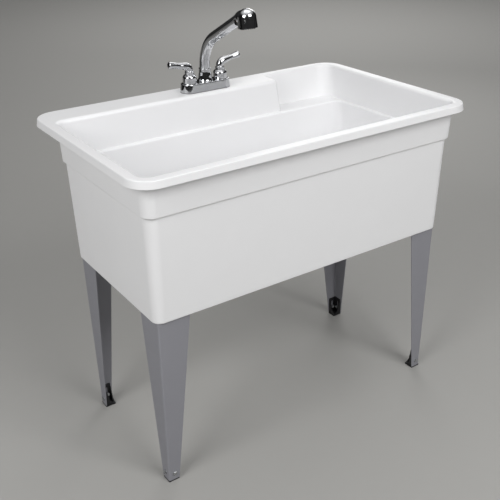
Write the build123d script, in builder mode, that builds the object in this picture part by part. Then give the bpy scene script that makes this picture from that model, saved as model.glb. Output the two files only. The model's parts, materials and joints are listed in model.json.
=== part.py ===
from build123d import *
from math import cos, radians, sin, tan
import os

# Utility laundry sink: a moulded tub on four folded steel legs, with a two-handle tap.
# Millimetres. X runs along the tub, -Y is the front, +Z is up.
# The origin is on the floor, under the middle of the rim.

# ---------------------------------------------------------------- tub
rim_length = 1016.0
rim_width = 610.0
rim_height = 864.0
rim_corner_radius = 62.0
rim_edge_radius = 3.0
opening_edge_radius = 10.0
wall = 5.0
body_wall = 8.0
lip_height = 18.0
lip_draft = 3.5

band_inset = 30.0
band_height = 84.0
band_draft = 3.0
band_corner_radius = 29.0
band_edge_radius = 4.0
deck_overhang = 63.5
step_width = 6.0
ledge_thickness = 4.0
ledge_edge_radius = 6.0
ledge_root_radius = 2.0

body_height = 274.0
body_draft = 4.5
body_back_draft = 13.0
body_corner_radius = 28.0
base_corner_radius = 25.0
base_edge_radius = 4.0
skirt_height = 22.0
floor_edge_radius = 18.0

shelf_left = 228.0
shelf_left_draft = 15.0
shelf_back_inset = 25.0
shelf_back_draft = 20.0
shelf_back_corner_radius = 40.0
shelf_inner_corner_radius = 12.0
deck_corner_radius = 11.0
shelf_reach = 80.0

dish_depth = 6.0
dish_margin = 45.0
dish_middle = 100.0
dish_corner_radius = 30.0

# ---------------------------------------------------------------- legs and feet
leg_thickness = 2.0
leg_inset = 7.5
leg_top_width = 88.0
leg_foot_width = 31.0
leg_fold_radius = 5.0
back_leg_lean = 22.5
socket_clearance = 0.3
socket_rib = 4.0
socket_arm_spare = 6.0

foot_pad_thickness = 4.0
foot_wall = 3.0
foot_height = 58.0
foot_clearance = 0.3
foot_web_height = 50.0
foot_web_crest = 5.0
foot_web_reach = 17.5
foot_toe_height = 20.0
foot_travel = 20.0
foot_corner_radius = 2.0
foot_inset = 1.0

bolt_height = 24.0
bolt_across = 17.5
bolt_radius = 3.0
bolt_head_flats = 11.0
bolt_head_height = 4.0
bolt_tip = 2.0
bolt_hole_clearance = 0.3
bolt_slot_clearance = 0.6
nut_height = 5.0
nut_running_gap = 0.2

# ---------------------------------------------------------------- drain
drain_hole_radius = 23.0
drain_flange_radius = 36.0
drain_flange_thickness = 3.0
drain_flange_edge = 1.2
drain_thread_radius = 22.5
drain_bore_radius = 17.5
drain_body_length = 44.0
drain_seat_depth = 4.0
drain_seat_radius = 21.0
strainer_bar_width = 4.0
strainer_bar_height = 5.0
strainer_bar_gap = 10.0
drain_gasket_radius = 34.0
drain_gasket_thickness = 3.0
drain_ring_thickness = 1.0
drain_nut_flats = 62.0
drain_nut_height = 10.0
tail_radius = 19.05
tail_wall = 1.2
tail_length = 101.6
tail_lip_radius = 22.0
tail_lip_thickness = 2.0
tail_collar_radius = 19.4
tail_collar_height = 5.0
tail_washer_thickness = 2.5
slip_nut_height = 20.0
slip_nut_floor = 3.0
slip_nut_flats = 54.0
thread_clearance = 0.05

plug_clearance = 0.3
plug_draft = 1.5
plug_depth = 12.0
plug_cap_radius = 24.0
plug_cap_thickness = 3.0
plug_cap_edge = 1.2
knob_shank_radius = 3.0
knob_shank_depth = 9.0
knob_rise = 8.0
knob_radius = 9.0
knob_thickness = 5.0
knob_edge = 2.0

# ---------------------------------------------------------------- tap
tap_setback = 56.0
handle_spacing = 102.0
deck_hole_radius = 16.0
gasket_thickness = 1.5
base_length = 160.0
base_width = 54.0
base_height = 25.0
base_draft = 3.0
base_shell = 2.5
base_top_radius = 2.5
base_gasket_margin = 0.5

valve_block = 28.0
valve_block_height = 16.0
shank_radius = 10.6
shank_length = 50.0
shank_bore = 6.5
inlet_radius = 10.4
inlet_length = 32.0
valve_neck_radius = 11.0
valve_neck_height = 15.0
neck_clearance = 0.3
mount_washer_radius = 22.0
mount_washer_thickness = 2.0
mount_nut_flats = 38.0
mount_nut_height = 9.0
waterway_radius = 7.0
waterway_bore = 4.5
riser_radius = 11.6
riser_bore = 8.5
riser_top = 54.0

bell_radius = 20.0
bell_height = 24.0
bell_top_radius = 15.0
bell_foot = 15.0
bell_shell = 2.5
hub_radius = 21.5
hub_height = 31.0
hub_waist_radius = 19.0
hub_top_radius = 17.3
hub_bead = 3.0
hub_floor = 3.0

turning_gap = 0.3
handle_skirt_radius = 13.5
handle_skirt_height = 7.0
handle_neck_radius = 12.0
neck_flare = 2.0
handle_elbow_height = 22.5
elbow_radius = 10.5
elbow_bend = 13.0
lever_reach = 67.0
lever_rise = 11.0
lever_waist_radius = 8.0
lever_waist_reach = 42.0
lever_tip_radius = 9.5
lever_tip_dome = 4.0
stem_radius = 4.0
stem_top = 9.0
screw_radius = 2.0
screw_length = 8.0

spout_radius = 15.0
spout_wall = 1.5
spout_bend_height = 127.0
spout_bend_radius = 105.0
spout_run = 190.0
spout_rise = 27.5
collar_radius = 17.3
collar_height = 5.0
collar_edge = 1.0
ring_radius = 1.0
ring_side_gap = 0.1
ring_count = 2
ring_depth = 8.0
ring_pitch = 6.0

hose_radius = 6.0
hose_tail = 60.0
hose_socket_depth = 8.0
hose_socket_clearance = 0.3
connector_length = 24.0
connector_radius = 8.5
connector_bore = 4.0
coupling_flats = 17.0
coupling_length = 14.0

head_tilt = 9.0
head_height = 49.0
head_mouth_radius = 26.0
head_shoulder_radius = 24.5
head_shoulder_height = 27.0
head_axis_reach = 53.5
head_axis_height = 34.5
head_neck_radius = 14.0
head_flare_radius = 18.0
head_flare_reach = 31.0
head_shell_wall = 2.5
dome_steps = 4
head_spigot_length = 14.0
flute_count = 10
flute_radius = 9.0
flute_depth = 1.3
flute_foot = 3.5
flute_length = 20.0
face_recess = 4.0
face_ledge = 2.0
face_edge = 0.8
face_radius = 22.0
face_proud = 1.5
nozzle_radius = 1.3
nozzle_height = 1.5
nozzle_rings = ((6, 6.5), (12, 12.5), (18, 18.0))

# ---------------------------------------------------------------- derived levels
tap_y = rim_width / 2 - tap_setback
lip_bottom = rim_height - lip_height
plate_bottom = rim_height - wall
step_level = lip_bottom - band_height
ledge_level = step_level + ledge_thickness
tub_bottom = step_level - body_height
floor_bottom = tub_bottom + skirt_height
floor_level = floor_bottom + wall
tap_seat = rim_height + gasket_thickness
base_top = rim_height + base_height
base_roof = base_top - base_shell
valve_block_top = tap_seat + valve_block_height
shank_end = rim_height - shank_length
dish_level = floor_level - dish_depth
lip_slope = lip_draft / lip_height
band_slope = band_draft / band_height
body_slope = body_draft / body_height
body_back_slope = body_back_draft / body_height

quarter_turn = 90.0
riser_level = rim_height + riser_top
ring_middle_radius = spout_radius - spout_wall - thread_clearance - ring_radius
ring_levels = [riser_level - ring_depth - step * ring_pitch for step in range(ring_count)]
bend_level = rim_height + spout_bend_height
spout_foot = base_top + hub_floor + turning_gap
spout_way = Vector(0, -cos(radians(spout_rise)), sin(radians(spout_rise)))
lever_slope = tan(radians(lever_rise))
lever_length = lever_reach / cos(radians(lever_rise))
elbow_setback = elbow_bend * tan(radians(quarter_turn - lever_rise) / 2)
os.makedirs("parts", exist_ok=True)


def finish(part, name):
    """Labels a finished piece and writes it."""
    part.label = name
    export_step(part, f"parts/{name}.step")


# ================================================================ tub

def rim_sides(level):
    """Outer half length, front and back of the turned-down lip."""
    inset = lip_slope * (level - lip_bottom)
    return rim_length / 2 - inset, inset - rim_width / 2, rim_width / 2 - inset


def band_sides(level):
    """Outer half length, front and back of the band under the rim."""
    inset = band_inset + band_slope * (lip_bottom - level)
    half = rim_length / 2 - inset
    front = inset - rim_width / 2
    back = rim_width / 2 - inset - deck_overhang
    return half, front, back


def body_sides(level):
    """Outer half length, front and back of the body under the step."""
    half, front, back = band_sides(step_level)
    drop = step_level - level
    inset = step_width + body_slope * drop
    return half - inset, front + inset, back - step_width - body_back_slope * drop


def shelf_sides(level):
    """Left and back faces of the shelf pocket."""
    share = (rim_height - level) / (rim_height - ledge_level)
    left = shelf_left + shelf_left_draft * share
    back = rim_width / 2 - shelf_back_inset - shelf_back_draft * share
    return left, back


def plan(sides, offset, radius):
    """Rounded rectangle between the given sides, moved outwards by offset."""
    half, front, back = sides
    with Locations((0, (front + back) / 2)):
        RectangleRounded(2 * (half + offset), back - front + 2 * offset, radius)


def plan_loft(sides_at, low, high, offset, low_radius, high_radius, mode):
    """Drafted block between two levels."""
    sections = []
    for level, radius in ((low, low_radius), (high, high_radius)):
        with BuildSketch(Plane.XY.offset(level)) as section:
            plan(sides_at(level), offset, radius)
        sections.append(section.sketch)
    loft(sections, ruled=True, mode=mode)


def shelf_loft(low, high, offset, mode):
    """Drafted block of the shelf pocket, open to the basin in front."""
    sections = []
    for level in (low, high):
        left, back = shelf_sides(level)
        half, front, basin_back = band_sides(level)
        right = half - wall + offset
        with BuildSketch(Plane.XY.offset(level)) as section:
            with BuildLine():
                Polyline(
                    (left - offset, basin_back - shelf_reach),
                    (right, basin_back - shelf_reach),
                    (right, back + offset),
                    (left - offset, back + offset),
                    close=True,
                )
            make_face()
            back_corners = section.vertices().group_by(Axis.Y)[-1].sort_by(Axis.X)
            fillet(back_corners[-1], shelf_back_corner_radius + offset)
            left_corner = section.vertices().group_by(Axis.Y)[-1].sort_by(Axis.X)[0]
            fillet(left_corner, shelf_inner_corner_radius + offset)
        sections.append(section.sketch)
    loft(sections, ruled=True, mode=mode)


def ledge_face(piece):
    """Level face of the ledge round the basin."""
    low = (step_level + ledge_level) / 2
    high = ledge_level + ledge_thickness
    level_faces = piece.faces().filter_by(Plane.XY).filter_by_position(Axis.Z, low, high)
    return level_faces.sort_by(SortBy.AREA)[-1]


def leg_corner(side, end, level):
    """Outer fold corner of a leg: side is -1 left or 1 right, end is -1 front or 1 back."""
    half, front, back = body_sides(tub_bottom)
    x = side * (half - leg_inset)
    lean = back_leg_lean * (tub_bottom - level) / tub_bottom
    y = front + leg_inset if end < 0 else back - leg_inset - lean
    return x, y


def angle_points(corner, inward, arm, near, far):
    """Outline of an angle section, with faces near and far in from the fold's outer faces."""
    x, y = corner
    u, v = inward
    return (
        (x + u * near, y + v * near),
        (x + u * arm, y + v * near),
        (x + u * arm, y + v * far),
        (x + u * far, y + v * far),
        (x + u * far, y + v * arm),
        (x + u * near, y + v * arm),
    )


def angle_section(level, corner, inward, arm, near, far, outer_radius, inner_radius):
    """Folded angle section at a level."""
    points = angle_points(corner, inward, arm, near, far)
    with BuildSketch(Plane.XY.offset(level)) as section:
        with BuildLine():
            Polyline(*points, close=True)
        make_face()
        if outer_radius > 0:
            fillet(section.vertices().sort_by_distance((*points[0], level))[0], outer_radius)
        if inner_radius > 0:
            fillet(section.vertices().sort_by_distance((*points[3], level))[0], inner_radius)
    return section.sketch


def angle_loft(place, levels, arms, depths, radii, mode=Mode.ADD):
    """Angle section carried along a leg's fold from one level to another."""
    side, end = place
    near, far = depths
    outer_radius, inner_radius = radii
    sections = []
    for level, arm in zip(levels, arms):
        corner = leg_corner(side, end, level)
        sections.append(angle_section(level, corner, (-side, -end), arm, near, far,
                                      outer_radius, inner_radius))
    loft(sections, ruled=True, mode=mode)


def dish_loft(high, mode):
    """Shallow fall from a level to the flat round the drain."""
    sections = []
    with BuildSketch(Plane.XY.offset(high)) as section:
        plan(body_sides(floor_level), -wall - dish_margin, dish_corner_radius)
    sections.append(section.sketch)
    with BuildSketch(Plane.XY.offset(high - dish_depth)) as section:
        with Locations(drain_at):
            RectangleRounded(dish_middle, dish_middle, dish_corner_radius)
    sections.append(section.sketch)
    loft(sections, ruled=True, mode=mode)


def leg_width(level):
    """Width of a leg's flange, which tapers to the foot."""
    share = (level - foot_pad_thickness) / (tub_bottom - foot_pad_thickness)
    return leg_foot_width + (leg_top_width - leg_foot_width) * share


def spout_point(run):
    """Point on the spout's sloping centre line, measured from its bend."""
    return Vector(0, tap_y, bend_level) + spout_way * run


def spout_path(low, run):
    """Centre line of the spout from a level, round the bend and out along the slope."""
    with BuildLine() as path:
        FilletPolyline((0, tap_y, low), spout_point(0), spout_point(run), radius=spout_bend_radius)
    return path.line


leg_places = {
    "front_left": (-1, -1),
    "front_right": (1, -1),
    "back_left": (-1, 1),
    "back_right": (1, 1),
}

socket_depth = leg_inset + leg_thickness + socket_clearance + socket_rib
socket_arm = leg_inset + leg_width(floor_bottom) + socket_arm_spare
basin_middle_y = (body_sides(floor_level)[1] + body_sides(floor_level)[2]) / 2
drain_at = (0.0, basin_middle_y)

with BuildPart() as tub:
    # Rim plate with its turned-down lip.
    plan_loft(rim_sides, lip_bottom, rim_height, 0, rim_corner_radius,
              rim_corner_radius - lip_draft, Mode.ADD)
    fillet(tub.faces().sort_by(Axis.Z)[-1].edges(), rim_edge_radius)
    plan_loft(rim_sides, lip_bottom, plate_bottom, -wall, rim_corner_radius - wall,
              rim_corner_radius - wall - lip_draft, Mode.SUBTRACT)

    # Outer band, shelf box and body.
    plan_loft(band_sides, step_level, plate_bottom, 0, band_corner_radius,
              band_corner_radius, Mode.ADD)
    shelf_loft(step_level, plate_bottom, wall, Mode.ADD)
    step_edges = tub.edges().group_by(Axis.Z)[0]
    fillet(step_edges, band_edge_radius)
    plan_loft(body_sides, tub_bottom, step_level, 0, base_corner_radius,
              body_corner_radius, Mode.ADD)
    fillet(tub.edges().group_by(Axis.Z)[0], base_edge_radius)

    # Basin below the ledge, and the wider opening and shelf above it.
    plan_loft(body_sides, floor_level, ledge_level, -body_wall, base_corner_radius - wall,
              body_corner_radius - wall, Mode.SUBTRACT)
    fillet(tub.faces().filter_by(Plane.XY).group_by(Axis.Z)[1].edges(), floor_edge_radius)
    plan_loft(band_sides, ledge_level, rim_height, -wall, band_corner_radius - wall,
              band_corner_radius - wall, Mode.SUBTRACT)
    shelf_loft(ledge_level, rim_height, 0, Mode.SUBTRACT)

    # Rounded edges of the ledge, the deck corner and the opening.
    middle = (rim_height + ledge_level) / 2
    deck_corner = (shelf_sides(middle)[0], band_sides(middle)[2] - wall, middle)
    fillet(tub.edges().sort_by_distance(deck_corner)[0], deck_corner_radius)
    fillet(ledge_face(tub).inner_wires()[0].edges(), ledge_edge_radius)
    fillet(ledge_face(tub).outer_wire().edges(), ledge_root_radius)
    rim_face = tub.faces().filter_by(Plane.XY).sort_by(Axis.Z)[-1]
    fillet(rim_face.inner_wires()[0].edges(), opening_edge_radius)

    # Hollow skirt under the floor, with a thick angle at each corner for the leg sockets.
    with BuildSketch(Plane.XY.offset(tub_bottom)):
        half, front, back = body_sides(tub_bottom)
        plan((half, front, back), -wall, base_corner_radius - wall)
        for side, end in leg_places.values():
            corner = (side * half, front if end < 0 else back)
            with BuildLine():
                Polyline(*angle_points(corner, (-side, -end), socket_arm, 0, socket_depth), close=True)
            make_face(mode=Mode.SUBTRACT)
    extrude(amount=skirt_height, mode=Mode.SUBTRACT)
    for place in leg_places.values():
        angle_loft(
            place,
            (tub_bottom, floor_bottom),
            (leg_width(tub_bottom) + socket_clearance, leg_width(floor_bottom) + socket_clearance),
            (-socket_clearance, leg_thickness + socket_clearance),
            (leg_fold_radius + socket_clearance, leg_fold_radius - leg_thickness - socket_clearance),
            Mode.SUBTRACT,
        )

    # Dished floor, falling to the drain on both of its faces.
    dish_loft(floor_bottom, Mode.ADD)
    dish_loft(floor_level, Mode.SUBTRACT)
    with BuildSketch(Plane.XY.offset(floor_level)):
        with Locations(drain_at):
            Circle(drain_hole_radius)
    extrude(amount=-floor_level + tub_bottom, mode=Mode.SUBTRACT)

    # Holes in the deck for the tap.
    with BuildSketch(Plane.XY.offset(rim_height)):
        with Locations(*[(side * handle_spacing / 2, tap_y) for side in (-1, 0, 1)]):
            Circle(deck_hole_radius)
    extrude(amount=-lip_height, mode=Mode.SUBTRACT)

finish(tub.part, "tub")


# ================================================================ legs, levellers and feet

def flange_planes(place):
    """Planes on a leg's two outer faces at its levelling bolts, with X up along the fold."""
    side, end = place
    x, y = leg_corner(side, end, bolt_height)
    ground_x, ground_y = leg_corner(side, end, 0)
    fold = Vector(0, y - ground_y, bolt_height).normalized()
    side_origin = (x, y - end * bolt_across, bolt_height)
    end_origin = (x - side * bolt_across, y, bolt_height)
    side_face = Plane(origin=side_origin, x_dir=fold, z_dir=(side, 0, 0))
    end_face = Plane(origin=end_origin, x_dir=fold, z_dir=(0, end * fold.Z, -end * fold.Y))
    return side_face, end_face


bolt_planes = [plane for place in leg_places.values() for plane in flange_planes(place)]
nut_depth = leg_thickness + foot_clearance + foot_wall + nut_running_gap
bolt_length = nut_depth + nut_height + bolt_tip
foot_inner = leg_thickness + foot_clearance
foot_arm = leg_foot_width - foot_inset
foot_root = foot_pad_thickness / 2

for name, place in leg_places.items():
    with BuildPart() as leg:
        angle_loft(
            place,
            (foot_pad_thickness, floor_bottom),
            (leg_width(foot_pad_thickness), leg_width(floor_bottom)),
            (0, leg_thickness),
            (leg_fold_radius, leg_fold_radius - leg_thickness),
        )
        with BuildSketch(*flange_planes(place)):
            Circle(bolt_radius + bolt_hole_clearance)
        extrude(amount=-leg_thickness - bolt_hole_clearance, mode=Mode.SUBTRACT)
    finish(leg.part, name + "_leg")

with BuildPart() as leveller_bolts:
    with BuildSketch(*bolt_planes):
        RegularPolygon(bolt_head_flats / 2, 6, major_radius=False)
    extrude(amount=bolt_head_height)
    with BuildSketch(*bolt_planes):
        Circle(bolt_radius)
    extrude(amount=-bolt_length)
finish(leveller_bolts.part, "leveller_bolts")

with BuildPart() as leveller_nuts:
    with BuildSketch(*[plane.offset(-nut_depth) for plane in bolt_planes]):
        RegularPolygon(bolt_head_flats / 2, 6, major_radius=False)
        Circle(bolt_radius + thread_clearance, mode=Mode.SUBTRACT)
    extrude(amount=-nut_height)
finish(leveller_nuts.part, "leveller_nuts")

for name, place in leg_places.items():
    side, end = place
    with BuildPart() as foot:
        # Pad under the leg and walls inside it.
        x, y = leg_corner(side, end, foot_pad_thickness)
        with BuildSketch(Plane.XY):
            with Locations((x - side * leg_foot_width / 2, y - end * leg_foot_width / 2)):
                RectangleRounded(leg_foot_width, leg_foot_width, foot_corner_radius)
        extrude(amount=foot_pad_thickness)
        angle_loft(
            place,
            (foot_root, foot_height),
            (foot_arm, foot_arm),
            (foot_inner, foot_inner + foot_wall),
            (leg_fold_radius - foot_inner, 0),
        )
        # Webs that brace the free ends of the walls: a tall narrow one with a low toe.
        web_crest = foot_inner + foot_web_crest
        tall_web = ((foot_root, foot_web_reach), (foot_web_height, web_crest))
        toe_web = ((foot_root, foot_arm - foot_corner_radius), (foot_toe_height, web_crest))
        for crosswise, web in ((True, tall_web), (True, toe_web), (False, tall_web), (False, toe_web)):
            sections = []
            for level, reach in web:
                x, y = leg_corner(side, end, level)
                across = (foot_arm - foot_wall, foot_arm)
                along = (foot_inner + foot_wall / 2, reach)
                u_span, v_span = (along, across) if crosswise else (across, along)
                middle = (x - side * sum(u_span) / 2, y - end * sum(v_span) / 2)
                with BuildSketch(Plane.XY.offset(level)) as section:
                    with Locations(middle):
                        Rectangle(u_span[1] - u_span[0], v_span[1] - v_span[0])
                sections.append(section.sketch)
            loft(sections, ruled=True)
        # Slots that let the foot run down past its bolts.
        with BuildSketch(*[plane.offset(-leg_thickness) for plane in flange_planes(place)]):
            with Locations((foot_travel / 2, 0)):
                SlotCenterToCenter(foot_travel, 2 * (bolt_radius + bolt_slot_clearance))
        extrude(amount=-foot_wall - 2 * foot_clearance, mode=Mode.SUBTRACT)
    finish(foot.part, name + "_foot")


# ================================================================ drain

dish_bottom = floor_bottom - dish_depth
flange_top = dish_level + drain_flange_thickness
drain_end = dish_level - drain_body_length
ring_top = dish_bottom - drain_gasket_thickness
locknut_top = ring_top - drain_ring_thickness
tail_washer_top = drain_end
tail_top = tail_washer_top - tail_washer_thickness
slip_nut_top_floor = tail_top - tail_lip_thickness


def drain_ring(top, outer, inner, depth):
    """Flat ring round the drain's axis."""
    with BuildSketch(Plane.XY.offset(top)) as section:
        with Locations(drain_at):
            Circle(outer)
            Circle(inner, mode=Mode.SUBTRACT)
    return extrude(section.sketch, amount=-depth)


with BuildPart() as strainer_body:
    with BuildSketch(Plane.XY.offset(dish_level)):
        with Locations(drain_at):
            Circle(drain_flange_radius)
    extrude(amount=drain_flange_thickness)
    fillet(strainer_body.edges().group_by(Axis.Z)[-1], drain_flange_edge)
    with BuildSketch(Plane.XY.offset(dish_level)):
        with Locations(drain_at):
            Circle(drain_thread_radius)
    extrude(amount=-drain_body_length)
    with BuildSketch(Plane.XY.offset(flange_top)):
        with Locations(drain_at):
            Circle(drain_bore_radius)
    extrude(amount=-drain_flange_thickness - drain_body_length, mode=Mode.SUBTRACT)
    with Locations((*drain_at, flange_top - drain_seat_depth / 2)):
        Cone(drain_bore_radius, drain_seat_radius, drain_seat_depth, mode=Mode.SUBTRACT)
    with BuildSketch(Plane.XY.offset(drain_end)):
        with Locations(drain_at):
            with GridLocations(strainer_bar_gap, 0, 3, 1):
                Rectangle(strainer_bar_width, 2 * drain_thread_radius)
            Rectangle(2 * drain_thread_radius, strainer_bar_width)
            Circle(drain_thread_radius, mode=Mode.INTERSECT)
    extrude(amount=strainer_bar_height)
finish(strainer_body.part, "strainer_body")

with BuildPart() as drain_gasket:
    drain_ring(dish_bottom, drain_gasket_radius, drain_thread_radius + thread_clearance,
               drain_gasket_thickness)
finish(drain_gasket.part, "drain_gasket")

with BuildPart() as drain_friction_ring:
    drain_ring(ring_top, drain_gasket_radius, drain_thread_radius + thread_clearance,
               drain_ring_thickness)
finish(drain_friction_ring.part, "drain_friction_ring")

with BuildPart() as drain_locknut:
    with BuildSketch(Plane.XY.offset(locknut_top)):
        with Locations(drain_at):
            RegularPolygon(drain_nut_flats / 2, 6, major_radius=False)
            Circle(drain_thread_radius + thread_clearance, mode=Mode.SUBTRACT)
    extrude(amount=-drain_nut_height)
finish(drain_locknut.part, "drain_locknut")

with BuildPart() as tailpiece_washer:
    drain_ring(tail_washer_top, tail_lip_radius, tail_radius - tail_wall, tail_washer_thickness)
finish(tailpiece_washer.part, "tailpiece_washer")

with BuildPart() as tailpiece:
    drain_ring(tail_top, tail_lip_radius, tail_radius - tail_wall, tail_lip_thickness)
    drain_ring(tail_top, tail_radius, tail_radius - tail_wall, tail_length)
    drain_ring(tail_top, tail_collar_radius, tail_radius - tail_wall,
               tail_lip_thickness + tail_collar_height)
finish(tailpiece.part, "tailpiece")

with BuildPart() as slip_nut:
    nut_foot = slip_nut_top_floor - slip_nut_floor
    with BuildSketch(Plane.XY.offset(nut_foot)):
        with Locations(drain_at):
            RegularPolygon(slip_nut_flats / 2, 8, major_radius=False)
            Circle(tail_collar_radius + neck_clearance, mode=Mode.SUBTRACT)
    extrude(amount=slip_nut_floor)
    with BuildSketch(Plane.XY.offset(slip_nut_top_floor)):
        with Locations(drain_at):
            RegularPolygon(slip_nut_flats / 2, 8, major_radius=False)
            Circle(drain_thread_radius + thread_clearance, mode=Mode.SUBTRACT)
    extrude(amount=slip_nut_height - slip_nut_floor)
finish(slip_nut.part, "slip_nut")

with BuildPart() as stopper_plug:
    with BuildSketch(Plane.XY.offset(flange_top)):
        with Locations(drain_at):
            Circle(plug_cap_radius)
    extrude(amount=plug_cap_thickness)
    fillet(stopper_plug.edges().group_by(Axis.Z)[-1], plug_cap_edge)
    plug_radius = drain_bore_radius - plug_clearance
    with Locations((*drain_at, flange_top - plug_depth / 2)):
        Cone(plug_radius - plug_draft, plug_radius, plug_depth)
    with BuildSketch(Plane.XY.offset(flange_top + plug_cap_thickness)):
        with Locations(drain_at):
            Circle(knob_shank_radius + thread_clearance)
    extrude(amount=-knob_shank_depth, mode=Mode.SUBTRACT)
finish(stopper_plug.part, "stopper_plug")

with BuildPart() as stopper_knob:
    knob_foot = flange_top + plug_cap_thickness
    with BuildSketch(Plane.XY.offset(knob_foot - knob_shank_depth)):
        with Locations(drain_at):
            Circle(knob_shank_radius)
    extrude(amount=knob_shank_depth + knob_rise)
    with BuildSketch(Plane.XY.offset(knob_foot + knob_rise)):
        with Locations(drain_at):
            Circle(knob_radius)
    extrude(amount=knob_thickness)
    fillet(stopper_knob.edges().group_by(Axis.Z)[-1], knob_edge)
finish(stopper_knob.part, "stopper_knob")


# ================================================================ tap base and inside

tap_axis = (0, tap_y)
tap_sides = {"hot": -1, "cold": 1}
valve_places = [(side * handle_spacing / 2, tap_y) for side in tap_sides.values()]

with BuildPart() as tap_gasket:
    with BuildSketch(Plane.XY.offset(rim_height)):
        with Locations(tap_axis):
            SlotOverall(base_length - 2 * base_gasket_margin, base_width - 2 * base_gasket_margin)
            Circle(riser_bore, mode=Mode.SUBTRACT)
        with Locations(*valve_places):
            Circle(shank_radius + neck_clearance, mode=Mode.SUBTRACT)
    extrude(amount=gasket_thickness)
finish(tap_gasket.part, "tap_gasket")


def base_loft(top, inset, mode):
    """Drafted stadium from the gasket up to a level."""
    sections = []
    for level, draft in ((tap_seat, 0), (top, base_draft)):
        with BuildSketch(Plane.XY.offset(level)) as section:
            with Locations(tap_axis):
                shrink = 2 * (inset + draft)
                SlotOverall(base_length - shrink, base_width - shrink)
        sections.append(section.sketch)
    loft(sections, ruled=True, mode=mode)


with BuildPart() as tap_base:
    base_loft(base_top, 0, Mode.ADD)
    fillet(tap_base.edges().group_by(Axis.Z)[-1], base_top_radius)
    base_loft(base_roof, base_shell, Mode.SUBTRACT)
    with BuildSketch(Plane.XY.offset(base_top)):
        with Locations(tap_axis):
            Circle(riser_radius + neck_clearance)
        with Locations(*valve_places):
            Circle(valve_neck_radius + neck_clearance)
    extrude(amount=-2 * base_shell, mode=Mode.SUBTRACT)
finish(tap_base.part, "tap_base")

stem_foot = valve_block_top + neck_clearance
for name, side in tap_sides.items():
    x = side * handle_spacing / 2
    with BuildPart() as valve:
        with BuildSketch(Plane.XY.offset(tap_seat)):
            with Locations((x, tap_y)):
                Rectangle(valve_block, valve_block)
        extrude(amount=valve_block_height)
        with BuildSketch(Plane.XY.offset(valve_block_top)):
            with Locations((x, tap_y)):
                Circle(valve_neck_radius)
        extrude(amount=valve_neck_height)
        with BuildSketch(Plane.XY.offset(tap_seat)):
            with Locations((x, tap_y)):
                Circle(shank_radius)
        extrude(amount=shank_end + inlet_length - tap_seat)
        with BuildSketch(Plane.XY.offset(shank_end)):
            with Locations((x, tap_y)):
                Circle(inlet_radius)
        extrude(amount=tap_seat - shank_end)
        with BuildSketch(Plane.XY.offset(shank_end)):
            with Locations((x, tap_y)):
                Circle(shank_bore)
        extrude(amount=tap_seat + valve_block_height / 2 - shank_end, mode=Mode.SUBTRACT)
        with BuildSketch(Plane.XY.offset(valve_block_top + valve_neck_height)):
            with Locations((x, tap_y)):
                Circle(stem_radius + thread_clearance)
        extrude(amount=-valve_neck_height, mode=Mode.SUBTRACT)
        with BuildSketch(Plane.YZ.offset(x - side * valve_block / 2)):
            with Locations((tap_y, tap_seat + valve_block_height / 2)):
                Circle(waterway_bore)
        extrude(amount=side * valve_block / 2, mode=Mode.SUBTRACT)
    finish(valve.part, name + "_valve")

with BuildPart() as waterway:
    reach = handle_spacing - valve_block
    with BuildSketch(Plane.YZ.offset(-reach / 2)):
        with Locations((tap_y, tap_seat + valve_block_height / 2)):
            Circle(waterway_radius)
    extrude(amount=reach)
    with BuildSketch(Plane.XY.offset(tap_seat)):
        with Locations(tap_axis):
            Circle(riser_radius)
    extrude(amount=rim_height + riser_top - tap_seat)
    with BuildSketch(Plane.YZ.offset(-reach / 2)):
        with Locations((tap_y, tap_seat + valve_block_height / 2)):
            Circle(waterway_bore)
    extrude(amount=reach, mode=Mode.SUBTRACT)
    with BuildSketch(Plane.XY.offset(tap_seat)):
        with Locations(tap_axis):
            Circle(riser_bore)
    extrude(amount=rim_height + riser_top - tap_seat, mode=Mode.SUBTRACT)
    for level in ring_levels:
        with BuildSketch(Plane.XY.offset(level - ring_radius - ring_side_gap)):
            with Locations(tap_axis):
                Circle(riser_radius + neck_clearance)
                Circle(ring_middle_radius - ring_radius - thread_clearance, mode=Mode.SUBTRACT)
        extrude(amount=2 * (ring_radius + ring_side_gap), mode=Mode.SUBTRACT)
finish(waterway.part, "waterway")

with BuildPart() as riser_rings:
    for level in ring_levels:
        with BuildSketch(Plane(origin=(0, tap_y, level), x_dir=(1, 0, 0), z_dir=(0, -1, 0))):
            with Locations((ring_middle_radius, 0)):
                Circle(ring_radius)
        revolve(axis=Axis((0, tap_y, 0), (0, 0, 1)))
finish(riser_rings.part, "riser_rings")

with BuildPart() as mounting_washers:
    with BuildSketch(Plane.XY.offset(plate_bottom)):
        with Locations(*valve_places):
            Circle(mount_washer_radius)
            Circle(shank_radius + neck_clearance, mode=Mode.SUBTRACT)
    extrude(amount=-mount_washer_thickness)
finish(mounting_washers.part, "mounting_washers")

with BuildPart() as mounting_nuts:
    with BuildSketch(Plane.XY.offset(plate_bottom - mount_washer_thickness)):
        with Locations(*valve_places):
            RegularPolygon(mount_nut_flats / 2, 6, major_radius=False)
            Circle(shank_radius + thread_clearance, mode=Mode.SUBTRACT)
    extrude(amount=-mount_nut_height)
finish(mounting_nuts.part, "mounting_nuts")


# ================================================================ bells, handles and hub

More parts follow.
